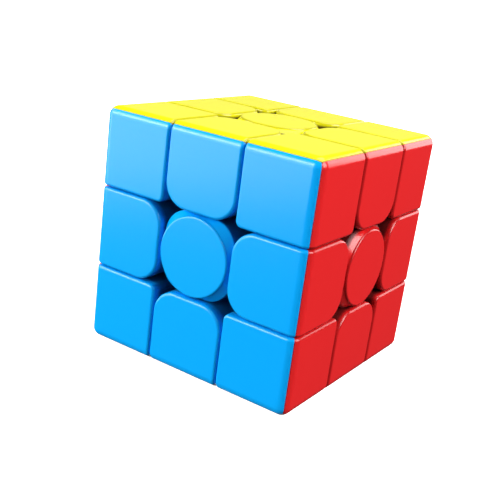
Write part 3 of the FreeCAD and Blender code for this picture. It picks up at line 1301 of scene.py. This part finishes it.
@dataclass
class Tension:
    """What holds a centre to the core: a screw, a washer and a spring."""

    screw_finish: bpy.types.Material
    washer_finish: bpy.types.Material
    spring_finish: bpy.types.Material
    head_seat: float = 19.62
    head_height: float = 1.8
    head_radius: float = 2.7
    head_round: float = 0.9
    head_ease: float = 0.12
    head_steps: int = 8
    neck_height: float = 0.15
    neck_flare: float = 0.1
    recess_half: float = 1.5
    recess_width: float = 0.35
    recess_depth: float = 1.1
    recess_taper: float = 0.7
    shank: float = 1.25
    screw_steps: int = 32
    tip: float = 4.2
    tip_start: float = 0.55
    tip_growth: float = 0.45
    tip_length: float = 0.9
    pitch: float = 0.8
    rings_per_pitch: int = 10
    thread_depth: float = 0.22
    thread_flank: float = 3.2
    thread_crest: float = 0.25
    thread_lead: float = 1.2
    thread_runout: float = 0.6
    thread_end: float = 13.0
    washer_seat: float = 19.1
    washer_thickness: float = 0.5
    washer_radius: float = 3.4
    washer_hole: float = 1.35
    washer_ease: float = 0.08
    washer_steps: int = 64
    spring_low: float = 12.2
    spring_high: float = 19.1
    spring_radius: float = 2.75
    spring_play: float = 0.02
    wire: float = 0.3
    wire_share: float = 0.98
    wire_steps: int = 10
    spring_turns: float = 5.5
    closed_turns: float = 0.75
    turn_steps: int = 36
    turn_travel: float = 0.8

    def cross(self, height: float, scale: float) -> Row:
        """The driver recess's outline: a cross of two slots.

        Args:
            height: The outline's height.
            scale: How large it is beside the recess's mouth.

        Returns:
            The outline.
        """
        long, wide = self.recess_half * scale, self.recess_width * scale
        quarter = [(long, -wide), (long, wide), (wide, wide)]
        made = []
        for turn in range(4):
            spin = Matrix.Rotation(turn * math.pi / 2, 3, "Z")
            made += [spin @ Vector((x, y, height)) for x, y in quarter]
        return made

    def thread_row(self, height: float) -> Row:
        """A level row of points round the threaded shank.

        Args:
            height: The row's height.

        Returns:
            The row.
        """
        above, below = height - self.tip, self.thread_end - height
        fade = max(min(1.0, above / self.thread_lead, below / self.thread_runout), 0.0)
        point = self.tip_start + self.tip_growth * min(1.0, above / self.tip_length)
        row = []
        for i in range(self.screw_steps):
            turn = 2 * math.pi * i / self.screw_steps
            wave = (height / self.pitch - i / self.screw_steps) % 1.0
            valley = max(0.0, min(1.0, abs(wave - 0.5) * self.thread_flank - self.thread_crest))
            reach = (self.shank - self.thread_depth * valley * fade) * point
            row.append(Vector((reach * math.cos(turn), reach * math.sin(turn), height)))
        return row

    def screw_mesh(self) -> bpy.types.Mesh:
        """The screw: a pan head with a cross recess, and a threaded shank.

        Returns:
            The template mesh.
        """
        skin = Skin()
        top = self.head_seat + self.head_height
        levels = int((self.thread_end - self.tip) / self.pitch * self.rings_per_pitch)
        rings = [self.thread_row(z) for z in steps(self.tip, self.thread_end, levels)]
        for radius, z in (
            (self.shank, self.head_seat - self.neck_height),
            (self.shank + self.neck_flare, self.head_seat),
            (self.head_radius - self.head_ease, self.head_seat),
            (self.head_radius, self.head_seat + self.head_ease),
        ):
            rings.append(ring(radius, z, self.screw_steps))
        for turn in steps(0, math.pi / 2, self.head_steps):
            reach = self.head_radius - self.head_round * (1 - math.cos(turn))
            rings.append(ring(reach, top - self.head_round * (1 - math.sin(turn)), self.screw_steps))
        skin.face(rings[0])
        skin.bands(rings, closed=True)
        mouth = self.cross(top, 1.0)
        floor = self.cross(top - self.recess_depth, self.recess_taper)
        skin.fill(rings[-1], mouth)
        skin.strip(mouth, floor, closed=True)
        skin.face(floor)
        return skin.mesh("tension_screw")

    def washer_mesh(self) -> bpy.types.Mesh:
        """The washer, with its edges eased.

        Returns:
            The template mesh.
        """
        skin = Skin()
        low, high, ease = self.washer_seat, self.washer_seat + self.washer_thickness, self.washer_ease
        profile = []
        for radius, way in ((self.washer_radius, 1), (self.washer_hole, -1)):
            eased = radius - ease * way
            side = [(eased, low), (radius, low + ease), (radius, high - ease), (eased, high)]
            profile += side[::way]
        rings = [ring(r, z, self.washer_steps) for r, z in profile]
        skin.bands([*rings, rings[0]], closed=True)
        return skin.mesh("tension_washer")

    def coil_height(self, turns: float) -> float:
        """How high the wire's centre is, with a closed coil at each end of the spring.

        Args:
            turns: How many turns the wire has made from its lower end.

        Returns:
            The height.
        """
        low = self.spring_low + self.wire + self.spring_play
        high = self.spring_high - self.wire - self.spring_play
        left, closed = self.spring_turns - turns, self.closed_turns
        if turns < closed:
            return low + 2 * self.wire * turns
        if left < closed:
            return high - 2 * self.wire * left
        dead = 2 * self.wire * closed
        return low + dead + (high - low - 2 * dead) * (turns - closed) / (self.spring_turns - 2 * closed)

    def spring_mesh(self) -> bpy.types.Mesh:
        """The compression spring, with a closed coil at each end.

        Returns:
            The template mesh.
        """
        skin = Skin()
        count, wire = int(self.spring_turns * self.turn_steps), self.wire * self.wire_share
        angles = [2 * math.pi * k / self.wire_steps for k in range(self.wire_steps)]
        rows = []
        for i in range(count + 1):
            turns = self.spring_turns * i / count
            z, turn = self.coil_height(turns), 2 * math.pi * turns
            out = Vector((math.cos(turn), math.sin(turn), 0))
            spin = [(self.spring_radius + wire * math.cos(a), z + wire * math.sin(a)) for a in angles]
            rows.append([out * reach + Vector((0, 0, height)) for reach, height in spin])
        skin.bands(rows, closed=True)
        skin.face(rows[0])
        skin.face(rows[-1])
        return skin.mesh("tension_spring")

    def build(self) -> None:
        """Makes the hardware under each of the six caps."""
        screw, washer, spring = self.screw_mesh(), self.washer_mesh(), self.spring_mesh()
        for face in Face:
            place = turning(face.axis, across(face.axis))
            word = face.word
            made = piece(screw, f"{word}_tension_screw", place, self.screw_finish)
            seat(made, f"{word}_tension_screw", f"tension_screw_{word}")
            made = piece(washer, f"{word}_tension_washer", place, self.washer_finish)
            seat(made, f"{word}_washer", f"tension_washer_{word}")
            made = piece(spring, f"{word}_tension_spring", place, self.spring_finish)
            seat(made, "core_and_middle", f"tension_spring_{word}")
            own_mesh(made)


# ---------------------------------------------------------------- core and feet


@dataclass
class InnerParts:
    """The core and the feet, whose CAD shapes are right and get their finishes here."""

    black: bpy.types.Material
    grey: bpy.types.Material

    def build(self) -> None:
        """Dresses the CAD nodes."""
        for name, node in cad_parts.items():
            if name != "core" and "feet" not in name:
                continue
            finish = self.grey if name == "core" else self.black
            node.data.materials.clear()
            node.data.materials.append(finish)
            LOG.info("%s keeps its CAD shape", name)


# ---------------------------------------------------------------- studio


@dataclass(frozen=True)
class SoftBox:
    """A rectangular studio light that points at the cube.

    Attributes:
        name: The light's name.
        toward: The direction of the light, seen from the cube.
        distance: How far away it hangs, in metres.
        size: Its width and height, in metres.
        glow: The brightness of its face, where 1 looks white.
        mirrored: Whether it shows as a highlight on the plastic.
    """

    name: str
    toward: Triple
    distance: float
    size: tuple[float, float]
    glow: float
    mirrored: bool = True

    def build(self) -> None:
        """Hangs the light and points it."""
        lamp = bpy.data.lights.new(self.name, "AREA")
        lamp.shape = "RECTANGLE"
        lamp.size, lamp.size_y = self.size
        lamp.energy = self.glow * math.pi * self.size[0] * self.size[1]
        hung = bpy.data.objects.new(self.name, lamp)
        way = Vector(self.toward).normalized()
        hung.location = way * self.distance
        hung.rotation_euler = (-way).to_track_quat("-Z", "Y").to_euler()
        hung.visible_glossy = self.mirrored
        bpy.context.scene.collection.objects.link(hung)


SOFT_BOXES = (
    SoftBox("overhead", (0.15, 0.25, 1.0), 0.8, (0.70, 0.70), 2.8),
    SoftBox("upper_back", (0.28, 0.94, 0.26), 0.8, (0.44, 0.44), 3.4),
    SoftBox("front_left", (-0.76, -0.60, 0.22), 0.7, (0.90, 0.70), 2.9),
    SoftBox("front_strip", (-0.58, -0.74, 0.40), 0.69, (0.42, 0.16), 8.0),
    SoftBox("front_fill", (-0.30, -0.90, 0.30), 0.8, (0.50, 0.50), 3.2, mirrored=False),
    SoftBox("right_high", (0.85, 0.12, 0.55), 0.8, (0.50, 0.50), 9.0),
    SoftBox("backdrop", (-0.56, 0.80, 0.12), 1.0, (1.10, 0.50), 0.26),
)


@dataclass
class Studio:
    """The floor and the walls round it, the sky, the lights and the camera.

    Attributes:
        floor_level: The floor's height, in metres.
        floor_half: Half of the floor's side.
        wall_height: How high the walls go.
        sky: The sky's colour.
        sky_strength: The sky's brightness.
        camera_place: Where the camera stands, in metres.
        camera_turn: How it is turned, in degrees.
        camera_lens: Its focal length.
        camera_sensor: Its sensor's width.
        camera_near: How near it sees, in metres.
    """

    floor_level: float
    floor_half: float = 2500.0
    wall_height: float = 4000.0
    sky: Rgb = (1.0, 1.0, 1.0)
    sky_strength: float = 0.05
    camera_place: Triple = (0.100229, -0.165959, 0.059024)
    camera_turn: Triple = (71.7693, -7.2367, 34.3017)
    camera_lens: float = 60.295
    camera_sensor: float = 36.0
    camera_near: float = 0.01

    def lay_floor(self) -> None:
        """Lays the floor and stands the walls round it, out of reach of reflections and bounced light."""
        sheet = Skin()
        low, half = self.floor_level / MM, self.floor_half
        foot = [Vector((x * half, y * half, low)) for x, y in ((-1, -1), (1, -1), (1, 1), (-1, 1))]
        head = [at + Vector((0, 0, self.wall_height)) for at in foot]
        sheet.face(foot)
        sheet.strip(foot, head, closed=True)
        mesh = bpy.data.meshes.new("floor")
        mesh.from_pydata([p * MM for p in sheet.points], [], sheet.faces)
        mesh.materials.append(PaleFloor().make())
        floor = bpy.data.objects.new("floor", mesh)
        bpy.context.scene.collection.objects.link(floor)
        floor.visible_glossy = False
        floor.visible_diffuse = False
        floor.visible_shadow = False

    def light_sky(self) -> None:
        """Lights the sky."""
        world = bpy.data.worlds.new("studio")
        world.use_nodes = True
        sky = world.node_tree.nodes["Background"]
        sky.inputs["Color"].default_value = (*self.sky, 1.0)
        sky.inputs["Strength"].default_value = self.sky_strength
        bpy.context.scene.world = world
        bpy.context.scene.view_settings.view_transform = "Standard"

    def stand_camera(self) -> None:
        """Stands the camera in front of the cube."""
        lens = bpy.data.cameras.new("camera")
        lens.lens = self.camera_lens
        lens.sensor_width = self.camera_sensor
        lens.clip_start = self.camera_near
        camera = bpy.data.objects.new("camera", lens)
        camera.location = self.camera_place
        camera.rotation_euler = Euler([math.radians(a) for a in self.camera_turn], "XYZ")
        bpy.context.scene.collection.objects.link(camera)
        bpy.context.scene.camera = camera

    def build(self) -> None:
        """Sets the studio up."""
        self.lay_floor()
        self.light_sky()
        for box in SOFT_BOXES:
            box.build()
        self.stand_camera()


def main() -> None:
    """Builds the cube and the studio."""
    logging.basicConfig(level=logging.INFO, format="%(message)s")
    shells = {name: finish.make() for name, finish in SHELL_FINISHES.items()}
    Studio(floor_level=CAD_BOX[0][2]).build()
    Blocks(ShellMould(), shells).build()
    centre_shells = {
        name: replace(finish, name=f"{name}_centre", gap_start=finish.gap_start + CENTRE_GAP_DELAY).make()
        for name, finish in SHELL_FINISHES.items()
    }
    Centre(centre_shells).build()
    Tension(SCREW_STEEL.make(), WASHER_STEEL.make(), SPRING_STEEL.make()).build()
    InnerParts(BLACK_NYLON.make(), GREY_NYLON.make()).build()


if __name__ == "__main__":
    main()
